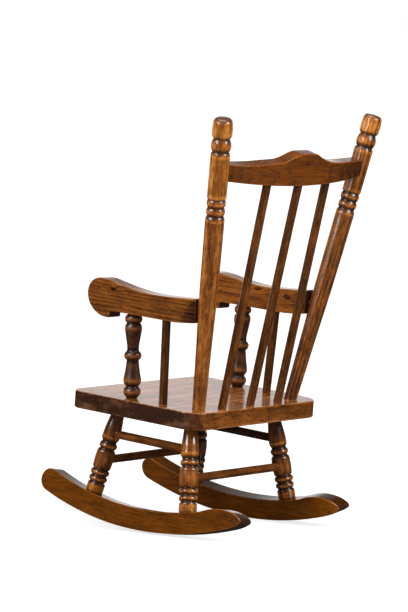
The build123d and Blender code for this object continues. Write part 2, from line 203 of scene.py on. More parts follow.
def stained_wood(name, colours, ring_mm, line=0.3, streak=0.5, blotch=0.28, streak_mm=5.3,
                 streak_run=14, gloss=0.12, satin=0.42, lustre=0.1, knots=(), knot_stain=0.28):
    """Softwood, wiped with walnut stain and sprayed with gloss lacquer: a sharp, wet
    shine on edges over warm brown that is streaked along the grain and darker in the
    pores. Growth rings are the distance from the pith, folded into bands that darken
    slowly and end sharply; fibres and stain streaks are noise stretched along the grain.
    The lacquer is a clear coat over wood that keeps a broad, soft sheen of its own.
    colours run from the palest wood through to stain that has pooled, then end grain and
    its lighter rubbed patches. line, streak and blotch are how strongly rings, streaks
    and blotches darken; gloss and satin the roughness of lacquer and of wood. knots lists
    (along, across, through, radius) in metres: the rings swell round each, and its heart
    is darker by knot_stain."""
    material = bpy.data.materials.new(name)
    material.use_nodes = True
    tree = material.node_tree
    tree.nodes.clear()
    place = add_node(tree, "ShaderNodeAttribute", attribute_name="grain").outputs["Vector"]
    darkness = add_node(tree, "ShaderNodeAttribute", attribute_name="darkness").outputs["Fac"]
    ends = add_node(tree, "ShaderNodeAttribute", attribute_name="end_grain").outputs["Fac"]

    # Noise over the grain: waves per metre along, across and through it, detail,
    # roughness. Pores (0.1 mm wide in real pine) and fibres (0.03 mm) are too fine to
    # show, so they are drawn about 1.6 and 1.8 mm wide.
    across = 1000 / streak_mm
    patterns = {}
    for pattern, scale, detail, rough in (
            ("waver", (7, 22, 22), 3.0, 0.5),
            ("late wood", (8, 70, 70), 2.0, 0.6),
            ("streaks", (across / streak_run, across, across), 2.0, 0.55),
            ("fibres", (42, 560, 560), 3.0, 0.65),
            ("blotches", (26, 60, 60), 4.0, 0.62),
            ("pores", (85, 640, 640), 1.0, 0.5),
            ("specks", (240, 420, 420), 3.0, 0.7),
            ("rubbing", (0, 26, 70), 4.0, 0.6),
            ("orange peel", (90, 120, 120), 2.0, 0.5)):
        stretched = add_node(tree, "ShaderNodeVectorMath", {0: place, 1: scale}, operation="MULTIPLY")
        patterns[pattern] = add_node(tree, "ShaderNodeTexNoise", {
            "Vector": stretched, "Scale": 1.0, "Detail": detail, "Roughness": rough})

    # Rings round the pith, bent by knots.
    drift = add_node(tree, "ShaderNodeVectorMath",
                     {0: patterns["waver"].outputs["Color"], 1: (0.0, WAVER, WAVER), 2: place},
                     operation="MULTIPLY_ADD")
    section = add_node(tree, "ShaderNodeVectorMath", {0: drift, 1: (0.0, 1.0, 1.0)},
                       operation="MULTIPLY")
    pith = add_node(tree, "ShaderNodeVectorMath", {0: section}, operation="LENGTH").outputs["Value"]
    heart = 0.0
    for *spot, radius in knots:
        apart = add_node(tree, "ShaderNodeVectorMath", {0: drift, 1: tuple(spot)}, operation="SUBTRACT")
        apart = add_node(tree, "ShaderNodeVectorMath", {0: apart, 1: KNOT_OVAL}, operation="MULTIPLY")
        apart = add_node(tree, "ShaderNodeVectorMath", {0: apart}, operation="LENGTH").outputs["Value"]
        swell = add_node(tree, "ShaderNodeMapRange",
                         {0: apart, 1: 0.0, 2: radius * 3.2, 3: radius * 1.6, 4: 0.0},
                         interpolation_type="SMOOTHSTEP")
        inside = add_node(tree, "ShaderNodeMapRange",
                          {0: apart, 1: radius * 0.5, 2: radius * 1.15, 3: 1.0, 4: 0.0},
                          interpolation_type="SMOOTHSTEP")
        pith = add_node(tree, "ShaderNodeMath", {0: pith, 1: swell}, operation="ADD")
        heart = add_node(tree, "ShaderNodeMath", {0: heart, 1: inside}, operation="MAXIMUM")
    years = add_node(tree, "ShaderNodeMath", {0: pith, 1: 1000.0 / ring_mm}, operation="MULTIPLY")
    season = add_node(tree, "ShaderNodeMath", {0: years}, operation="FRACT")
    autumn = add_node(tree, "ShaderNodeMapRange", {0: season, 1: 0.35, 2: 0.88},
                      interpolation_type="SMOOTHSTEP")
    winter = add_node(tree, "ShaderNodeMapRange", {0: season, 1: 0.90, 2: 1.0, 3: 1.0, 4: 0.0},
                      interpolation_type="SMOOTHSTEP")
    uneven = add_node(tree, "ShaderNodeMapRange",
                      {0: patterns["late wood"], 1: 0.30, 2: 0.62, 3: 0.25, 4: 1.25},
                      interpolation_type="SMOOTHSTEP")
    late = add_node(tree, "ShaderNodeMath", {0: autumn, 1: winter}, operation="MULTIPLY")
    late = add_node(tree, "ShaderNodeMath", {0: late, 1: uneven}, operation="MULTIPLY")

    # How dark the wood is: each part adds its share to the plain wood's tone, among them
    # the mesh's darkness value, which holds stain, wear and painted light and shade.
    wide, fibre, patch = (
        add_node(tree, "ShaderNodeMath", {0: patterns[key], 1: 0.5}, operation="SUBTRACT")
        for key in ("streaks", "fibres", "blotches"))
    flecks = add_node(tree, "ShaderNodeMapRange", {0: patterns["pores"], 1: 0.60, 2: 0.72},
                      interpolation_type="SMOOTHSTEP")
    tone = 0.36
    for part, share in ((late, line), (wide, streak), (fibre, streak * 1.1), (patch, blotch * 2.0),
                        (flecks, 0.33), (darkness, 0.6), (heart, knot_stain)):
        tone = add_node(tree, "ShaderNodeMath", {0: part, 1: share, 2: tone}, operation="MULTIPLY_ADD")
    ramp = add_node(tree, "ShaderNodeValToRGB", {0: tone})
    stops = ramp.color_ramp.elements
    while len(stops) < 5:
        stops.new(0.5)
    for stop, position, code in zip(stops, (0.0, 0.27, 0.48, 0.72, 1.0), colours):
        stop.position = position
        stop.color = linear(code)

    # End grain drinks more stain, and is rubbed paler in patches.
    square = add_node(tree, "ShaderNodeMath", {0: ends, 1: 1.6}, operation="POWER")
    speckled = add_node(tree, "ShaderNodeMath", {0: patterns["specks"], 1: 0.7, 2: 0.6},
                        operation="MULTIPLY_ADD")
    cut = add_node(tree, "ShaderNodeMath", {0: square, 1: speckled}, operation="MULTIPLY",
                   use_clamp=True)
    bare = add_node(tree, "ShaderNodeMapRange", {0: patterns["rubbing"], 1: 0.50, 2: 0.70},
                    interpolation_type="SMOOTHSTEP")
    dusty = add_node(tree, "ShaderNodeMath", {0: patterns["specks"], 1: 0.25}, operation="ADD")
    rubbed = add_node(tree, "ShaderNodeMath", {0: bare, 1: dusty}, operation="MULTIPLY")
    end_colour = add_node(tree, "ShaderNodeMix",
                          {0: rubbed, 6: linear(colours[5]), 7: linear(colours[6])},
                          data_type="RGBA").outputs[2]
    colour = add_node(tree, "ShaderNodeMix", {0: cut, 6: ramp, 7: end_colour},
                      data_type="RGBA").outputs[2]

    # Wood is felt through the lacquer, which has a faint orange peel of its own.
    height = add_node(tree, "ShaderNodeMath", {0: late, 1: 0.5, 2: fibre}, operation="MULTIPLY_ADD")
    height = add_node(tree, "ShaderNodeMath", {0: flecks, 1: -0.8, 2: height}, operation="MULTIPLY_ADD")
    fibres = add_node(tree, "ShaderNodeBump", {"Height": height, "Strength": 0.35, "Distance": 0.0004})
    ripple = add_node(tree, "ShaderNodeMath", {0: height, 1: 0.1, 2: patterns["orange peel"]},
                      operation="MULTIPLY_ADD")
    lacquer = add_node(tree, "ShaderNodeBump", {"Height": ripple, "Strength": 0.22, "Distance": 0.0006})
    sheen = add_node(tree, "ShaderNodeMath", {0: wide, 1: 0.3, 2: satin}, operation="MULTIPLY_ADD")
    sheen = add_node(tree, "ShaderNodeMath", {0: cut, 1: 0.15, 2: sheen}, operation="MULTIPLY_ADD")
    shader = add_node(tree, "ShaderNodeBsdfPrincipled",
                      {"Base Color": colour, "Roughness": sheen, "IOR": 1.5,
                       "Specular IOR Level": lustre, "Normal": fibres, "Coat Weight": 1.0,
                       "Coat Roughness": gloss, "Coat IOR": 1.5, "Coat Normal": lacquer})
    add_node(tree, "ShaderNodeOutputMaterial", {"Surface": shader})
    return material


def finish_piece(piece, material, slot, *nodes):
    """Gives a made piece its finish, hangs it from the root body and hides the CAD nodes
    that it stands for. slot is not used.
    """
    piece.data.materials.append(material)
    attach(piece, "root")
    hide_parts(*nodes)


# Flat-sawn pine, the stain worn thin on top. The palest colours, which show mostly on the
# top, are also lightened and tinted pink as painted light: a painted reflection of the
# white surroundings in the lacquer and of the light from above. Its rings and streaks are
# drawn about twice as wide as real ones (4 and 7 mm), or they would merge on a face seen
# this obliquely.
SEAT_COLOURS = ["#d39a70", "#b06e38", "#82470b", "#502804", "#1a0b02", "#2d1405", "#6e472f"]
seat_wood = stained_wood("walnut_stained_pine_seat", SEAT_COLOURS, ring_mm=9.0, line=0.24, streak=0.36,
                         blotch=0.34, streak_mm=15.0, gloss=0.18, satin=0.5,
                         knots=[(0.375, 0.066, 0.016, 0.006)])

seat_outline = np.vstack([
    round_corner(SEAT_CORNERS[i - 1][:2], (x, y), SEAT_CORNERS[(i + 1) % 4][:2], radius, 15)
    for i, (x, y, radius) in enumerate(SEAT_CORNERS)])
seat_outline = even_steps(seat_outline, 6.0)
seat = board_piece("plank_seat", seat_outline, lambda p: p - [0, 0, BOARD / 2], (1, 0, 0),
                   (0.31, 0.052, 0.016), seed=3, wear=0.4, edge_stain=0.36)
finish_piece(seat, seat_wood, "stained_board", "seat")


# ---- rockers ----------------
# Two rockers bandsawn from inch board, grain along their length: the sole is the
# rocking arc, the nose is round, and the tail rises to a low hump before its tip. Each
# leans outwards at the foot, square to the splayed legs that are glued into it.

ROCKER_X = 113.0                    # its middle, on FOOT_LINE
ROCKER_TOP_CENTRE = (-93.5, 346.7)
ROCKER_TOP_RADIUS = 508.0
ROCKER_SOLE = (-271.4, 88.0)        # the sole is the rocking arc between these, y front and rear
ROCKER_BAND = (-260.5, 30.0)        # and the upper edge is an arc between these
TAIL = [(98.0, -156.2), (105.4, -151.6), (108.9, -147.3), (107.4, -143.9), (103.0, -141.2),
        (95.5, -138.2), (84.0, -136.3), (70.0, -135.8), (56.5, -137.4), (43.0, -141.0)]
LEG_SPLAY = math.radians(8.9)
FOOT_LINE = -150.4                  # height of the line that a rocker is leaned about
LEAN_LIFT = 1.3                     # keeps the inner edge of the sole on the floor


def smooth_curve(points, per_span=12):
    """A natural cubic spline through the points, worked out on chord length: second
    derivatives solve the usual three-term system with zero bend at both ends."""
    p = np.array(points, float)
    h = np.linalg.norm(np.diff(p, axis=0), axis=1)
    inner = np.arange(1, len(p) - 1)
    system = np.eye(len(p))
    system[inner, inner - 1] = h[:-1]
    system[inner, inner] = 2 * (h[:-1] + h[1:])
    system[inner, inner + 1] = h[1:]
    turns = np.zeros_like(p)
    turns[1:-1] = 6 * np.diff(np.diff(p, axis=0) / h[:, None], axis=0)
    bend = np.linalg.solve(system, turns)
    t = np.linspace(0, 1, per_span, endpoint=False)[None, :, None]
    a, b, bend_a, bend_b = p[:-1, None], p[1:, None], bend[:-1, None], bend[1:, None]
    curve = a * (1 - t) + b * t + h[:, None, None] ** 2 / 6 * (
        ((1 - t) ** 3 - (1 - t)) * bend_a + (t ** 3 - t) * bend_b)
    return np.vstack([curve.reshape(-1, p.shape[1]), p[-1:]])


def arc_through(a, b, c, count):
    """Points on the circle through a, b and c, from a to c: the centre is where the
    perpendicular bisectors meet."""
    a, b, c = (np.array(q, float) for q in (a, b, c))
    m = 2 * np.array([b - a, c - a])
    centre = np.linalg.solve(m, [b @ b - a @ a, c @ c - a @ a])
    start, via, end = (math.atan2(*(q - centre)[::-1]) for q in (a, b, c))
    turn = (end - start) % (2 * math.pi)
    if (via - start) % (2 * math.pi) > turn:
        turn -= 2 * math.pi
    angle = start + turn * np.linspace(0, 1, count)
    return centre + np.linalg.norm(a - centre) * np.stack([np.cos(angle), np.sin(angle)], axis=1)


def on_circle(y, centre, radius):
    """The lower point of the circle at that y."""
    return (y, centre[1] - math.sqrt(radius ** 2 - (y - centre[0]) ** 2))


def rocker_outline():
    """Sole arc from nose to tail, a curve that flows round the tail, the upper arc back
    to the front, and half an ellipse for the nose."""
    middle = ROCKING_CENTRE[0]
    front, low, rear = (on_circle(y, ROCKING_CENTRE, ROCKING_RADIUS)
                        for y in (ROCKER_SOLE[0], middle, ROCKER_SOLE[1]))
    sole = arc_through(front, low, rear, 90)
    band_front, band_mid, band_rear = (on_circle(y, ROCKER_TOP_CENTRE, ROCKER_TOP_RADIUS)
                                       for y in (ROCKER_BAND[0], middle, ROCKER_BAND[1]))
    top = arc_through(band_rear, band_mid, band_front, 70)
    tail = smooth_curve([sole[-3], sole[-1], *TAIL, top[0], top[3]], 10)[11:-10]
    nose_middle = (top[-1] + sole[0]) / 2
    forward = (top[-1] - top[-2]) / np.linalg.norm(top[-1] - top[-2])
    across = sole[0] - top[-1]
    bulge = np.linalg.norm(across) / 2 * forward
    sweep = np.linspace(0, math.pi, 25)[1:-1, None]
    nose = nose_middle - across / 2 * np.cos(sweep) + bulge * np.sin(sweep)
    return np.vstack([sole, tail, top[1:], nose])


def leaned(sign):
    """Places a rocker upright on its line, then leans it about that line."""
    c, s = math.cos(LEG_SPLAY), math.sin(LEG_SPLAY)

    def place(p):
        up = p[:, 1] - FOOT_LINE + LEAN_LIFT
        return np.stack([sign * (ROCKER_X - up * s) + p[:, 2] * c, p[:, 0],
                         FOOT_LINE + up * c + sign * p[:, 2] * s], axis=1)
    return place


TAIL_STAIN_FROM, TAIL_STAIN_RUN = 50.0, 40.0    # y where it starts, and how far it takes to come in
TAIL_EDGE_STAIN = 0.45
SAWN_EDGE = BOARD / 2 - 1.2                     # the edge between the eased arrises


def tail_stain_and_light(face_tone_and_light):
    """The sawn edge of a tail drank more stain than its faces. The faces differ by side: the
    right rocker's are lightened as painted light, where its inner face is lit less. One
    value on the edge and one on the faces, each rising from none along the tail."""
    def stain_and_light_at(p):
        along = np.clip((p[:, 0] - TAIL_STAIN_FROM) / TAIL_STAIN_RUN, 0, 1)
        return np.where(np.abs(p[:, 2]) < SAWN_EDGE, TAIL_EDGE_STAIN, face_tone_and_light) * along
    return stain_and_light_at


# Narrow-ringed pine, sawn so that little figure shows: an even brown with a dull lustre.
ROCKER_COLOURS = ["#94530a", "#743e04", "#5a2f01", "#3f1f01", "#1a0b01", "#38200f", "#684a3a"]
rocker_wood = stained_wood("walnut_stained_rocker_board", ROCKER_COLOURS, ring_mm=3.4, line=0.14,
                           streak=0.4, blotch=0.24, streak_mm=4.0, lustre=0.03)
rocker_shape = even_steps(rocker_outline(), 4.0)
# The right rocker's faces grow lighter towards the tail, a painted light; the left's a touch darker.
for side, sign, timber, face_tone_and_light in (("left", 1, (0.10, 0.030, 0.021), 0.06),
                                       ("right", -1, (1.35, -0.020, 0.034), -0.4)):
    rocker = board_piece("rocker_board_" + side, rocker_shape, leaned(sign), (1, 0, 0), timber,
                         seed=11 + sign, ease=1.3, wear=0.5, edge_stain=0.2,
                         shade=tail_stain_and_light(face_tone_and_light))
    finish_piece(rocker, rocker_wood, "stained_board", "rocker_" + side)


# ---- legs ----------------
# Four turned legs, splayed and raked, each tapered into a socket under the seat and
# stub-tenoned into its rocker: twin beads low down, a barrel, one bead, a slim bulb.

LEG_X, LEG_REAR_Y, LEG_FRONT_Y = 93.2, -23.1, -163.5    # the sockets under the seat
LEG_RAKE, LEG_LENGTH = math.radians(10.0), 128.4
LEG_STEPS = [                       # radius and height above the rocker, as turned_profile says
    (8.0, -4.0), (8.0, -1.1), (12.6, -1.1), (13.1, 5.5, 13.0, 10.4), (12.5, 12.9, 10.8, 14.4),
    (10.8, 15.2), (13.8, 19.6, 10.8, 24.2), (10.8, 25.1), (14.2, 29.7, 10.8, 34.4), (10.8, 35.3),
    (13.0, 36.1, 13.4, 37.0), (14.1, 48.0, 13.7, 60.0), (13.0, 63.6, 10.7, 65.6), (10.7, 66.6),
    (13.4, 71.4, 10.7, 76.4), (10.7, 78.0),
    [(12.9, 82.0), (13.1, 88.0), (12.6, 97.0), (11.2, 108.5), (9.9, 120.5), (9.5, LEG_LENGTH)],
    (9.5, LEG_LENGTH + 2.0)]


def turned_profile(steps):
    """Radius and height along a turning, finely spaced. A pair is a straight cut with a
    point every 3 mm, four numbers are an arc by its middle and end, a list is a flowing
    curve."""
    line = [np.array([steps[0]], float)]
    for step in steps[1:]:
        here = line[-1][-1]
        if isinstance(step, list):
            line.append(smooth_curve([here, *step], 8)[1:])
        elif len(step) == 4:
            line.append(arc_through(here, step[:2], step[2:], 11)[1:])
        else:
            count = max(2, int(np.linalg.norm(np.array(step) - here) / 3.0) + 1)
            line.append(here + (np.array(step) - here) * np.linspace(0, 1, count)[1:, None])
    return np.vstack(line)


BLUNTING = 0.15                     # share of its neighbours in each point of a profile
GROOVE_REACH, GROOVE_DEPTH = 7.0, 2.6   # grooves darken below what is this near, most at this depth: pooled stain and painted shade
CROWN_RISE, CROWN_BAND = 1.2, 0.4   # a bead this proud is rubbed paler within this of its top
CROWN_WEAR = 0.35                   # by this much
END_GRAIN_SHARE = 0.8               # a slope cuts the fibres less squarely than a sawn end


def turned_piece(name, steps, foot, top, timber, flats=None, facing=(1, 0, 0), around=64,
                 tones=((0, 0),)):
    """A turning: its profile carried round the line from foot to top. Arrises are blunted
    by averaging neighbours a little. Grooves are darker, partly from stain that pools in
    them and partly as painted shade; the tops of beads are rubbed paler, and end grain shows
    where the profile slopes. flats(points) may cut flats; tones lists (height, tone) where
    the turning as a whole is darker or lighter, by stain and in places by painted light
    and shade."""
    profile = turned_profile(steps)
    profile[1:-1] = profile[1:-1] * (1 - BLUNTING) + (profile[:-2] + profile[2:]) * BLUNTING / 2
    radius, height = profile[:, 0], profile[:, 1]
    near = np.abs(height[:, None] - height[None, :]) < GROOVE_REACH
    highest = np.where(near, radius[None, :], 0).max(axis=1)
    lowest = np.where(near, radius[None, :], np.inf).min(axis=1)
    # Grooves are darker: stain that pools in them, and painted shade.
    groove_stain_and_shade = np.clip((highest - radius) / GROOVE_DEPTH, 0, 1) ** 0.8
    slope = np.gradient(profile, axis=0)
    sloping = np.abs(slope[:, 0]) / np.maximum(np.linalg.norm(slope, axis=1), 1e-6)
    crown = np.clip(1 - (highest - radius) / CROWN_BAND, 0, 1) * (lowest < radius - CROWN_RISE)
    angle = np.linspace(0, 2 * math.pi, around, endpoint=False)
    local = np.stack([radius[:, None] * np.cos(angle), radius[:, None] * np.sin(angle),
                      np.broadcast_to(height[:, None], (len(height), around))], axis=-1)
    if flats:
        local = flats(local)
    foot, top, facing = (np.array(v, float) for v in (foot, top, facing))
    axis = (top - foot) / np.linalg.norm(top - foot)
    x_dir = facing - (facing @ axis) * axis
    x_dir /= np.linalg.norm(x_dir)
    y_dir = np.cross(axis, x_dir)
    points = foot + local.reshape(-1, 3) @ np.stack([x_dir, y_dir, axis])
    grain = local.reshape(-1, 3)[:, [2, 0, 1]] / 1000 + np.array(timber)
    darkness = groove_stain_and_shade - CROWN_WEAR * crown + np.interp(height, *np.array(tones, float).T)
    faces = loops_to_faces(len(height), around)
    last = (len(height) - 1) * around
    caps = [list(range(around)), list(range(last, last + around))]
    return make_mesh(name, points, faces, caps, grain, np.repeat(darkness, around),
                     np.repeat(sloping * END_GRAIN_SHARE, around))


def leg_line(front_or_rear, sign):
    """Foot and seat end of a leg: from its seat socket down along the splay and rake."""
    rake = LEG_RAKE if front_or_rear == "rear" else -LEG_RAKE
    y = LEG_REAR_Y if front_or_rear == "rear" else LEG_FRONT_Y
    down = np.array([sign * math.tan(LEG_SPLAY), math.tan(rake), -1.0])
    top = np.array([sign * LEG_X, y, -BOARD])
    return top + down / np.linalg.norm(down) * LEG_LENGTH, top


# Turning cuts the rings at every angle, so the streaks are short, and the smooth, hard
# surface takes the brightest shine of all the wood.
TURNED_COLOURS = ["#cc8436", "#a45f17", "#7d440b", "#522905", "#1c0c03", "#5c3314", "#7a5238"]
turned_wood = stained_wood("walnut_stained_turned_pine", TURNED_COLOURS, ring_mm=5.2, line=0.2,
                           streak=0.46, blotch=0.4, streak_mm=3.2, streak_run=4, gloss=0.11,
                           satin=0.28, lustre=0.4)
for number, end, side, sign, tone in ((1, "front", "left", 1, 0.08), (2, "front", "right", -1, 0.1),
                                      (3, "rear", "left", 1, -0.06), (4, "rear", "right", -1, 0.12)):
    foot, top = leg_line(end, sign)
    leg = turned_piece(f"turned_leg_{end}_{side}", LEG_STEPS, foot, top,
                       (0.37 * number, 0.013 + 0.007 * number, 0.022), tones=((0, tone),))
    finish_piece(leg, turned_wood, "stained_turning", f"leg_{end}_{side}")


# ---- stretchers ----------------
# Half inch dowel glued into the legs: side stretchers high up, the front and the rear
# one low down, all left plain and stained a shade darker; the right side stretcher is
# darker still, a painted shadow of the seat above it.

DOWEL = 12.7
DOWEL_UNEVEN = 0.08                 # its radius wanders by this either way
END_SHADE_RUN = 26.0                      # length of the painted shade at the top end of a spindle, under the rail
SIDE_STRETCHER_UP, CROSS_STRETCHER_UP = 90.2, 48.3      # height up the leg


def dowel_piece(name, start, end, timber, facing=(0, 1, 0), tone=0.0, end_shade=0.0):
    """Plain dowel, very slightly uneven along its length as sanded by hand: its radius
    wanders with the mean of three seeded sines. tone darkens it as a whole, by stain and,
    on one stretcher, as painted shadow; the last argument darkens it further towards its
    end, a painted shade where a spindle meets the rail, over the last run set above."""
    length = float(np.linalg.norm(np.array(end) - np.array(start)))
    height = np.linspace(0, length, max(8, int(length / 6)))
    rng = np.random.default_rng(int(1000 * timber[0]))
    wave = sum(np.sin(height / length * k * 3.1 + rng.uniform(0, 6)) for k in (1, 2, 5)) / 3
    radius = DOWEL / 2 - DOWEL_UNEVEN + DOWEL_UNEVEN * wave
    steps = list(zip(radius, height))
    return turned_piece(name, steps, start, end, timber, facing=facing, around=40,
                        tones=((0, tone), (length - END_SHADE_RUN, tone), (length, tone + end_shade)))


def up_leg(end, sign, distance):
    """The point that far up a leg from its foot."""
    foot, top = leg_line(end, sign)
    return foot + (top - foot) / np.linalg.norm(top - foot) * distance


# Birch dowel: fine, straight grain, no figure, stained darker and less shiny.
DOWEL_COLOURS = ["#9b5e27", "#76410f", "#562e08", "#391c04", "#150a02", "#2e1608", "#4a2f20"]
dowel_wood = stained_wood("walnut_stained_dowel", DOWEL_COLOURS, ring_mm=4.0, line=0.15,
                          streak=0.5, blotch=0.4, streak_mm=2.6, streak_run=9, gloss=0.2)
# The right side stretcher is much darker, a painted shadow under the seat; the left one is a little
# lighter.
for side, sign, tone in (("left", 1, -0.12), ("right", -1, 0.45)):
    stretcher = dowel_piece("side_stretcher_" + side, up_leg("front", sign, SIDE_STRETCHER_UP),
                            up_leg("rear", sign, SIDE_STRETCHER_UP),
                            (2.1 + sign, 0.02, 0.009 * sign), (0, 0, 1), tone)
    finish_piece(stretcher, dowel_wood, "stained_dowel", "stretcher_" + side)
for end, along in (("front", 4.1), ("rear", 4.9)):
    stretcher = dowel_piece("cross_stretcher_" + end, up_leg(end, -1, CROSS_STRETCHER_UP),
                            up_leg(end, 1, CROSS_STRETCHER_UP), (along, 0.017, 0.012))
    finish_piece(stretcher, dowel_wood, "stained_dowel", "stretcher_" + end)


# ---- back posts ----------------
# Two turned posts tenoned into the seat, leaning back and opening outwards. The shaft
# swells to two beads; above them flats are left for the crest rail, then a broad bead
# and a button knob.

POST_X = 104.0                      # foot of a post, in the seat
BACK_Y = -1.2                       # where the back's plane meets the top of the seat
BACK_LEAN, POST_SPLAY = math.radians(8.7), math.radians(8.66)
POST_TOP = 440.7
POST_BLOCK = (321.6, 390.1)         # the block that takes the rail runs between these, up the post
BLOCK_FLAT, KNOB_FLAT = 13.0, 13.7  # half widths over the flats of the block and of the knob
POST_STEPS = [
    (9.5, -3.0), (9.5, 0.0), [(10.3, 40), (11.5, 107), (13.0, 168), (13.6, 235), (13.9, 287)],
    (13.3, 292.6, 11.5, 295.8), (13.7, 302.1, 11.5, 308.4), (13.9, 314.7, 11.7, 321.0),
    (13.4, 321.6, 14.0, 322.8), (14.0, 383.5), (13.5, 387.8, 11.7, 390.6), (14.4, 400.0, 11.5, 409.6),
    (11.5, 410.6), (13.5, 412.8, 14.3, 417.0), (14.6, 424.5, 14.0, 431.5), (12.9, 436.6, 9.8, 439.5),
    (0.3, POST_TOP)]


def back_point(x, up, behind=0.0):
    """A point of the leaning back: x across, up the slope, behind its plane."""
    c, s = math.cos(BACK_LEAN), math.sin(BACK_LEAN)
    return np.array([x, BACK_Y + up * s + behind * c, up * c - behind * s])


def rail_flats(local):
    """Flattens four sides of the block that the crest rail enters, and less of the knob:
    across the post no point lies further out than the flat."""
    height = local[..., 2:3]
    block = (height > POST_BLOCK[0]) & (height < POST_BLOCK[1])
    limit = np.where(block, BLOCK_FLAT, np.where(height > POST_BLOCK[1], KNOB_FLAT, np.inf))
    return np.concatenate([np.clip(local[..., :2], -limit, limit), height], axis=-1)


def post_line(sign):
    """Foot of a post, and a point far up it that gives its direction."""
    far = 440
    return back_point(sign * POST_X, 0), back_point(sign * (POST_X + far * math.tan(POST_SPLAY)), far)


# Each post is darker or lighter along its height; both knobs are much lighter, partly worn and partly a
# painted sheen of the light on their tops.
POST_TONES = {"left": ((0, 0), (100, 0), (170, -0.12), (290, -0.12), (330, -0.2), (400, -0.2),
                       (412, -0.5), (441, -0.55)),
              "right": ((0, 0.3), (120, 0.25), (290, 0.05), (324, 0.22), (386, 0.18), (412, -0.4),
                        (441, -0.6))}
# The same turned pine, handled more: streakier, with a softer shine.
post_wood = stained_wood("walnut_stained_post_pine", TURNED_COLOURS, ring_mm=5.2, line=0.25,
                         streak=0.55, blotch=0.45, streak_mm=3.2, streak_run=4, gloss=0.25,
                         satin=0.34, lustre=0.25)
for side, sign, timber in (("left", 1, (5.3, 0.030, 0.018)), ("right", -1, (6.9, -0.022, 0.026))):
    foot, top = post_line(sign)
    post = turned_piece("turned_post_" + side, POST_STEPS, foot, top, timber, flats=rail_flats,
                        around=96, tones=POST_TONES[side])
    finish_piece(post, post_wood, "stained_turning", "back_post_" + side)


# ---- crest rail ----------------
# Three-quarter inch board, bowed back at the middle, its top edge sawn to a raised
# centre with low shoulders and then sanded down towards the rear. Its ends are let into
# the flats of the posts.

RAIL_THICKNESS = 19.0
RAIL_BOW = 20.0                     # how far its middle lies behind its ends
RAIL_HALF = 154.0                   # half its length, with the tenons
RAIL_MIDDLE_LOW, RAIL_END_LOW = 339.0, 344.0            # its lower edge, up the slope of the back
RAIL_END_X = 141.0                  # where it reaches the end's height
RAIL_CREST = [(-156.0, 368.8), (-108.0, 370.1), (-72.0, 371.5), (-60.0, 373.1), (-47.5, 376.2),
              (-41.3, 378.1), (-32.0, 381.5), (-24.5, 384.7), (-19.0, 386.3), (-12.0, 386.8),
              (0.0, 386.9), (10.0, 386.9), (16.0, 386.6), (22.0, 385.2), (31.3, 381.9), (37.6, 379.3),
              (44.3, 376.9), (52.5, 374.9), (63.3, 373.8), (78.0, 372.8), (108.0, 370.3), (156.0, 369.8)]
CREST_LIFT = 0.25                   # the crest line is raised by this, to stand at mid thickness
RAIL_TOP_SLOPE = [(-70.0, -0.04), (-35.0, -0.13), (-17.0, -0.07), (15.0, -0.07), (35.0, -0.13),
                  (115.0, -0.13), (150.0, -0.03)]       # x, and fall of the top from front to rear
RAIL_EASE, RAIL_WEAR = 1.2, 0.5     # radius of its edges, and how much paler they are rubbed
RAIL_UP = 356.0                     # where the posts' distance is taken, up the slope
RAIL_SPAN = POST_X + RAIL_UP * math.tan(POST_SPLAY)     # half the distance between the posts
RAIL_TIMBER = (7700, -362, 110)     # where in its tree the board was cut, in mm
RAIL_END_STAIN = (0.02, 0.45)       # more stain towards its left and its right end,
RAIL_STAIN_FROM, RAIL_STAIN_RUN = 60.0, 60.0            # from this x, and coming in over this


def rail_behind(x):
    """How far the middle of the rail lies behind the plane of the back: a parabola."""
    return RAIL_BOW * (1 - (x / RAIL_SPAN) ** 2)


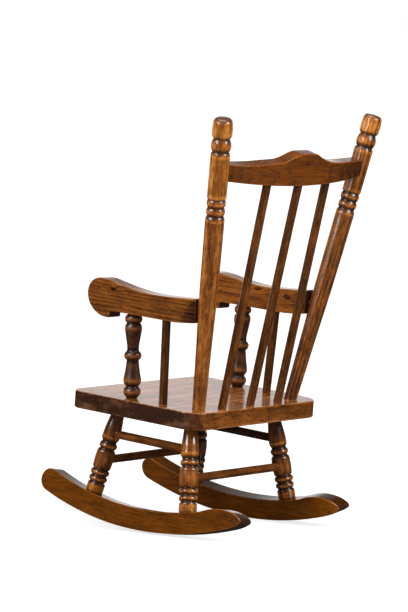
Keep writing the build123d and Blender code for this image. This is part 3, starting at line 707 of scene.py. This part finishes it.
def crest_rail_piece():
    """A rounded rectangle carried along the bow, square to it. Going round it, reach is
    the place from the front (-1) to the rear (1) and rise from the low line (0) to the
    high (1); depth and drop are how far the rounding of an edge takes it in. The high
    line is the crest at the point's own x, less the slope of the top."""
    corner = np.linspace(0, math.pi / 2, 6)
    out, back = 1 - np.cos(corner), 1 - np.sin(corner)
    flat = np.array([0.96, 0.8, 0.4, 0.0, -0.4, -0.8, -0.96])       # over the top, rear to front
    tall = np.array([0.97, 0.9, 0.5, 0.1, 0.03])                    # and down the front
    ones, level, steep = np.ones(len(corner)), np.zeros(len(flat)), np.zeros(len(tall))
    reach = np.concatenate([ones, flat, -ones, steep - 1, -ones, -flat, ones, steep + 1])
    rise = np.concatenate([ones, level + 1, ones, tall, ones - 1, level, ones - 1, 1 - tall])
    depth = np.concatenate([out, level, back, steep, out, level, back, steep]) * RAIL_EASE
    drop = np.concatenate([back, level, out, steep, back, level, out, steep]) * RAIL_EASE
    worn = np.concatenate([ones, level, ones, steep] * 2) * -RAIL_WEAR
    across = np.concatenate([ones - 1, level + 1, ones - 1, steep] * 2)
    half = RAIL_THICKNESS / 2
    offset = np.where(across == 1, reach * (half - RAIL_EASE), reach * (half - depth))
    station = np.linspace(-RAIL_HALF, RAIL_HALF, 181)[:, None]
    slope = -2 * RAIL_BOW * station / RAIL_SPAN ** 2
    x = station - slope / np.hypot(slope, 1) * offset
    behind = rail_behind(station) + offset / np.hypot(slope, 1)
    crest = np.interp(x, *smooth_curve(RAIL_CREST, 14).T)
    high = crest + CREST_LIFT + np.interp(x, *np.array(RAIL_TOP_SLOPE).T) * offset
    low = RAIL_MIDDLE_LOW + (RAIL_END_LOW - RAIL_MIDDLE_LOW) * (x / RAIL_END_X) ** 2
    face = (rise > 0) & (rise < 1)
    up = np.where(face, low + RAIL_EASE + (high - low - 2 * RAIL_EASE) * rise,
                  np.where(rise > 0.5, high - drop, low + drop))
    points = np.moveaxis(back_point(x, up, behind), 0, -1).reshape(-1, 3)
    grain = (np.stack([x, up, behind], axis=-1) + RAIL_TIMBER).reshape(-1, 3) / 1000
    towards_end = np.clip((np.abs(x) - RAIL_STAIN_FROM) / RAIL_STAIN_RUN, 0, 1)
    darkness = worn + np.where(x > 0, *RAIL_END_STAIN) * towards_end
    rows, columns = x.shape
    caps = [list(range(columns)), list(range((rows - 1) * columns, rows * columns))]
    return make_mesh("bowed_crest_rail", points, loops_to_faces(rows, columns), caps, grain,
                     darkness.ravel(), np.zeros(rows * columns))


# Narrow-ringed pine again, a shade less yellow than the rockers and glossier.
RAIL_COLOURS = ["#94530e", "#763d08", "#5c2f07", "#412004", "#1a0b02", "#42220b", "#6b4936"]
rail_wood = stained_wood("walnut_stained_rail_board", RAIL_COLOURS, ring_mm=3.4, line=0.13, streak=0.4,
                         blotch=0.26, streak_mm=4.0)
finish_piece(crest_rail_piece(), rail_wood, "stained_board", "crest_rail")


# ---- back spindles ----------------
# Three half inch dowels, glued into blind holes in the seat and in the crest rail. They
# follow the bow of the rail, so the middle one leans back the furthest.

SPINDLE_X, SPINDLE_TOP_X, SPINDLE_Y = 63.0, 66.5, 7.4   # the outer two fan out by 3.5 mm
SPINDLE_FOOT, SPINDLE_HOLE = -4, 5  # how far they reach into the seat and into the rail
for name, x in (("left", SPINDLE_X), ("centre", 0.0), ("right", -SPINDLE_X)):
    top_x = x * SPINDLE_TOP_X / SPINDLE_X
    top = back_point(top_x, RAIL_MIDDLE_LOW + SPINDLE_HOLE, rail_behind(top_x))
    # Each spindle darkens towards its top, a painted shade under the rail.
    spindle = dowel_piece("back_dowel_" + name, (x, SPINDLE_Y, SPINDLE_FOOT), top,
                          (9.3 + x / 50, 0.016, 0.012), tone=0.04 - 0.001 * x, end_shade=0.4)
    finish_piece(spindle, dowel_wood, "stained_dowel", "back_spindle_" + name)


# ---- arms ----------------
# Inch board on edge, sawn with a rolled front end and a square notch behind it; the
# back end is cut square and meets the round of the post.

ARM_X, ARM_UNDER, ARM_END_Y = 123.3, 124.2, 7.2         # its middle, underside and back end
ARM_END_HIGH, ARM_END_LOW = (ARM_END_Y, 163.4), (ARM_END_Y, 128.4)
# The roll and the top edge, from the notch forwards and back along the top. The right arm
# was sawn a little shorter and lower at the roll.
ARM_TOP = [(-128.5, 163.2), (-80.0, 159.1), (-30.0, 160.9), ARM_END_HIGH]
ARM_ROLL = {"left": [(-158.2, 114.0), (-169.5, 114.0), (-189.4, 121.6), (-202.0, 138.0),
                     (-200.8, 157.8), (-191.0, 167.4), (-179.0, 170.4), (-159.0, 168.5), *ARM_TOP],
            "right": [(-158.2, 114.0), (-169.0, 114.0), (-187.4, 121.6), (-198.4, 137.0),
                      (-197.2, 155.8), (-188.5, 164.8), (-177.0, 167.8), (-157.0, 167.2), *ARM_TOP]}
ARM_SAWN = 2.2                      # radius left on sawn corners
ARM_END_STAIN_AND_SHADE, ARM_END_RUN = 0.8, 3.0       # darker sawn back end, stain in its end grain and painted shade at the post, and where it fades


def arm_outline(roll_points):
    """The rolled front and the dipped top edge in one curve, then the square back end,
    the underside with its slight rise to the rear, and the notch."""
    roll = smooth_curve(roll_points, 10)
    under_rear, notch_high, notch_low = (-36.0, ARM_UNDER), (-157.0, ARM_UNDER), roll_points[0]
    rise = arc_through(ARM_END_LOW, (-14.0, 125.9), under_rear, 12)
    return np.vstack([
        roll[2:-2],
        round_corner(roll[-3], ARM_END_HIGH, ARM_END_LOW, ARM_SAWN),
        round_corner(ARM_END_HIGH, ARM_END_LOW, rise[1], ARM_SAWN),
        rise[1:-1],
        round_corner(under_rear, notch_high, notch_low, ARM_SAWN),
        round_corner(notch_high, notch_low, roll[3], ARM_SAWN)])


# Knotty pine with strong, wide-spaced rings, well polished by hands.
PLANK_COLOURS = ["#a5652a", "#854b16", "#66370d", "#482307", "#1d0d04", "#42220b", "#6b4936"]
plank_wood = stained_wood("walnut_stained_pine_board", PLANK_COLOURS, ring_mm=4.6, line=0.26, gloss=0.1,
                          knot_stain=0.5,
                          knots=[(10.247, 0.059, 0.0327, 0.003), (11.816, 0.025, 0.0247, 0.0042),
                                 (11.873, 0.019, 0.0247, 0.0044)])
for side, sign, timber, tone in (("left", 1, (10.4, -0.100, 0.018), 0.05),
                                 ("right", -1, (11.9, -0.132, 0.010), -0.16)):
    # The back end is darker: stain pooled in its end grain and painted shade in the gap at the post.
    arm = board_piece("rolled_arm_" + side, even_steps(arm_outline(ARM_ROLL[side]), 3.0),
                      lambda p: np.stack([sign * ARM_X + p[:, 2], p[:, 0], p[:, 1]], axis=1),
                      (1, 0, 0), timber, seed=21 + sign, wear=0.35,
                      shade=lambda p: tone + ARM_END_STAIN_AND_SHADE * np.clip(
                          (p[:, 0] - ARM_END_Y + 1.5 * ARM_END_RUN) / ARM_END_RUN, 0, 1))
    finish_piece(arm, plank_wood, "stained_board", "arm_" + side)


# ---- arm supports ----------------
# Each arm stands on a turned vase-and-bead post and a plain dowel. A short dowel holds
# its back end to the back post; it was stained with the rest before it was glued in, and
# is drawn darker still as painted shade in the gap where it shows.

ARM_POST_FOOT, ARM_POST_TOP_Y = (119.0, -118.0), -120.8
ARM_SPINDLE_FOOT, ARM_SPINDLE_TOP_Y = (116.8, -58.6), -57.0
ARM_POST_STEPS = [
    (6.3, -3.0), (6.3, 0.3), (8.8, 0.45), (8.8, 2.2), (13.0, 9.6, 9.3, 16.8), (9.3, 17.8),
    [(12.7, 23.0), (12.1, 33.0), (9.8, 47.5), (8.8, 55.6)], (9.4, 56.6), (12.8, 63.0, 9.4, 69.2),
    (8.7, 70.2), [(8.7, 76.0), (10.1, 86.0), (12.0, 98.0), (12.4, 105.5), (11.0, 109.5)], (9.2, 110.6),
    (12.9, 116.8, 9.3, 123.0), (9.3, 123.85), (6.3, 124.0), (6.3, 129.0)]
# Turned pine stained a shade darker than the legs, with a soft shine.
DARK_COLOURS = ["#a3622c", "#844b18", "#673610", "#472408", "#1c0d03", "#3a1d0a", "#4a2f20"]
dark_turned_wood = stained_wood("dark_stained_turned_pine", DARK_COLOURS, ring_mm=5.0, line=0.12,
                                streak=0.3, blotch=0.16, gloss=0.34)
# The left arm post is darker over its upper part, a painted shade under the arm; the right one is a
# little lighter as a whole.
for side, sign, post_tones, dowel_tone in (
        ("left", 1, ((0, 0), (55, 0), (75, 0.17), (124, 0.17)), 0.25),
        ("right", -1, ((0, -0.2), (124, -0.2)), 0.0)):
    foot = (sign * ARM_POST_FOOT[0], ARM_POST_FOOT[1], 0)
    top = (sign * ARM_X, ARM_POST_TOP_Y, ARM_UNDER)
    support = turned_piece("turned_arm_post_" + side, ARM_POST_STEPS, foot, top,
                           (12.4 + sign, 0.019, 0.016), tones=post_tones)
    finish_piece(support, dark_turned_wood, "stained_turning", "arm_post_" + side)
    foot = (sign * ARM_SPINDLE_FOOT[0], ARM_SPINDLE_FOOT[1], -1)
    top = (sign * ARM_X, ARM_SPINDLE_TOP_Y, ARM_UNDER + 1)
    dowel = dowel_piece("arm_dowel_upright_" + side, foot, top, (14.7 + sign, 0.014, 0.015),
                        tone=dowel_tone)
    finish_piece(dowel, dowel_wood, "stained_dowel", "arm_spindle_" + side)

# The pins are bare birch with stain wiped on: matt, and dark partly as painted shade of
# the gap between arm and post, with fine streaks along them, drawn 1.1 mm wide and 25 mm
# long, which is coarser than birch.
stained_and_shaded_pin = bpy.data.materials.new("stained_and_shaded_pin_dowel")
stained_and_shaded_pin.use_nodes = True
pin_tree = stained_and_shaded_pin.node_tree
pin_shader = pin_tree.nodes["Principled BSDF"]
pin_place = add_node(pin_tree, "ShaderNodeTexCoord").outputs["Object"]
pin_stretch = add_node(pin_tree, "ShaderNodeMapping",
                       {"Vector": pin_place, "Scale": (900.0, 40.0, 900.0)})
pin_fibre = add_node(pin_tree, "ShaderNodeTexNoise",
                     {"Vector": pin_stretch, "Scale": 1.0, "Detail": 3.0})
pin_colour = add_node(pin_tree, "ShaderNodeMix",
                      {0: pin_fibre, 6: linear("#3a1d0b"), 7: linear("#221006")},
                      data_type="RGBA")
pin_tree.links.new(pin_colour.outputs[2], pin_shader.inputs["Base Color"])
pin_shader.inputs["Roughness"].default_value = 0.7
for side in ("left", "right"):
    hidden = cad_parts["arm_dowel_" + side]
    hidden.data.materials.clear()
    hidden.data.materials.append(stained_and_shaded_pin)


# ---- floor, light and camera ----------------
# A pale studio floor that runs out to white and keeps a soft shadow, a softbox high on
# either side of the camera and a weaker one overhead, and the white surroundings that
# gloss mirrors.

FLOOR_HALF = 14.0
floor_mesh = bpy.data.meshes.new("studio_floor")
floor_mesh.from_pydata([(-FLOOR_HALF, -FLOOR_HALF, 0.0), (FLOOR_HALF, -FLOOR_HALF, 0.0),
                        (FLOOR_HALF, FLOOR_HALF, 0.0), (-FLOOR_HALF, FLOOR_HALF, 0.0)],
                       [], [(0, 1, 2, 3)])
floor = bpy.data.objects.new("studio_floor", floor_mesh)
bpy.context.scene.collection.objects.link(floor)
paper = bpy.data.materials.new("white_paper_sweep")
paper.use_nodes = True
paper_tree = paper.node_tree
paper_tree.nodes.clear()

# Matt paper: grey enough to hold a shadow, lit up to white for the camera only, and by
# degrees, so that the shadow fades out between 0.25 and 1.3 m. Gloss sees it dark.
WHITE = (1.0, 1.0, 1.0, 1.0)
paper_seen = add_node(paper_tree, "ShaderNodeLightPath")
paper_shade = add_node(paper_tree, "ShaderNodeMapRange",
                       {0: paper_seen.outputs["Is Glossy Ray"], 3: 0.38, 4: 0.04})
paper_base = add_node(paper_tree, "ShaderNodeBsdfDiffuse", {"Color": paper_shade})
paper_place = add_node(paper_tree, "ShaderNodeTexCoord").outputs["Object"]
paper_far = add_node(paper_tree, "ShaderNodeVectorMath", {0: paper_place},
                     operation="LENGTH").outputs["Value"]
paper_reach = add_node(paper_tree, "ShaderNodeMapRange",
                       {0: paper_far, 1: 0.25, 2: 1.3, 3: 0.76, 4: 1.0})
paper_lift = add_node(paper_tree, "ShaderNodeMath",
                      {0: paper_seen.outputs["Is Camera Ray"], 1: paper_reach}, operation="MULTIPLY")
paper_glow = add_node(paper_tree, "ShaderNodeEmission", {"Color": WHITE, "Strength": paper_lift})
paper_both = add_node(paper_tree, "ShaderNodeAddShader", {0: paper_base, 1: paper_glow})
add_node(paper_tree, "ShaderNodeOutputMaterial", {"Surface": paper_both})
floor_mesh.materials.append(paper)

# A long lens 5.3 m away, behind the chair and to the sitter's left.
CAMERA_PLACE = Vector((3.9696, 3.4231, 0.7146))
CAMERA_AZIMUTH, CAMERA_ELEVATION = math.radians(130.889), math.radians(4.230)
CAMERA_ROLL = math.radians(0.208)
to_camera = Vector((math.sin(CAMERA_AZIMUTH) * math.cos(CAMERA_ELEVATION),
                    -math.cos(CAMERA_AZIMUTH) * math.cos(CAMERA_ELEVATION), math.sin(CAMERA_ELEVATION)))
camera = bpy.data.objects.new("camera", bpy.data.cameras.new("camera"))
camera.data.sensor_width = 36.0
camera.data.lens = 209.57
camera.data.clip_end = 60.0
camera.matrix_world = (Matrix.Translation(CAMERA_PLACE)
                       @ (-to_camera).to_track_quat("-Z", "Y").to_matrix().to_4x4()
                       @ Matrix.Rotation(CAMERA_ROLL, 4, "Z"))
bpy.context.scene.collection.objects.link(camera)
bpy.context.scene.camera = camera


def softbox(name, azimuth, elevation, distance, wide, high, power):
    """An oblong lamp at that bearing from the camera's side of the chair, aimed at it."""
    turn = CAMERA_AZIMUTH + math.radians(azimuth)
    lift = math.radians(elevation)
    back = Vector((math.sin(turn) * math.cos(lift), -math.cos(turn) * math.cos(lift), math.sin(lift)))
    lamp = bpy.data.lights.new(name, "AREA")
    lamp.shape = "RECTANGLE"
    lamp.size = wide
    lamp.size_y = high
    lamp.energy = power
    holder = bpy.data.objects.new(name, lamp)
    holder.matrix_world = (Matrix.Translation(Vector((0, 0, 0.3)) + back * distance)
                           @ (-back).to_track_quat("-Z", "Y").to_matrix().to_4x4())
    bpy.context.scene.collection.objects.link(holder)


softbox("softbox_left", -50.0, 26.0, 2.0, 0.8, 0.95, 29.0)
softbox("softbox_right", 56.0, 26.0, 2.0, 0.6, 0.95, 28.0)
softbox("softbox_above", 0.0, 82.0, 1.7, 1.2, 1.2, 15.0)

world = bpy.data.worlds.new("studio")
bpy.context.scene.world = world
world.use_nodes = True
world_tree = world.node_tree
world_tree.nodes.clear()
# The world lights evenly. The camera sees it white; gloss and glass see a white paper wall
# opposite the camera, brightest low down, and a dark studio elsewhere.
world_ray = add_node(world_tree, "ShaderNodeTexCoord").outputs["Generated"]
world_away = add_node(world_tree, "ShaderNodeVectorMath", {0: world_ray, 1: tuple(-to_camera)},
                      operation="DOT_PRODUCT").outputs["Value"]
world_wall = add_node(world_tree, "ShaderNodeMapRange",
                      {0: world_away, 1: 0.62, 2: 0.93, 3: 0.03, 4: 1.0},
                      interpolation_type="SMOOTHSTEP")
world_up = add_node(world_tree, "ShaderNodeSeparateXYZ", {0: world_ray}).outputs["Z"]
world_low = add_node(world_tree, "ShaderNodeMapRange", {0: world_up, 1: 0.19, 2: 0.40, 3: 1.0, 4: 0.35},
                     interpolation_type="SMOOTHSTEP")
world_band = add_node(world_tree, "ShaderNodeMath", {0: world_wall, 1: world_low}, operation="MULTIPLY")
world_path = add_node(world_tree, "ShaderNodeLightPath")
world_shown = add_node(world_tree, "ShaderNodeMath",
                       {0: world_path.outputs["Is Camera Ray"], 1: world_band}, operation="MAXIMUM")
world_direct = world_path.outputs["Is Camera Ray"]
for ray in ("Is Glossy Ray", "Is Transmission Ray"):
    world_direct = add_node(world_tree, "ShaderNodeMath", {0: world_direct, 1: world_path.outputs[ray]},
                            operation="MAXIMUM")
world_light = add_node(world_tree, "ShaderNodeBackground", {"Color": WHITE, "Strength": 0.42})
world_white = add_node(world_tree, "ShaderNodeBackground", {"Color": WHITE, "Strength": world_shown})
world_mix = add_node(world_tree, "ShaderNodeMixShader",
                     {0: world_direct, 1: world_light, 2: world_white})
add_node(world_tree, "ShaderNodeOutputWorld", {"Surface": world_mix})

bpy.context.scene.view_settings.view_transform = "Standard"
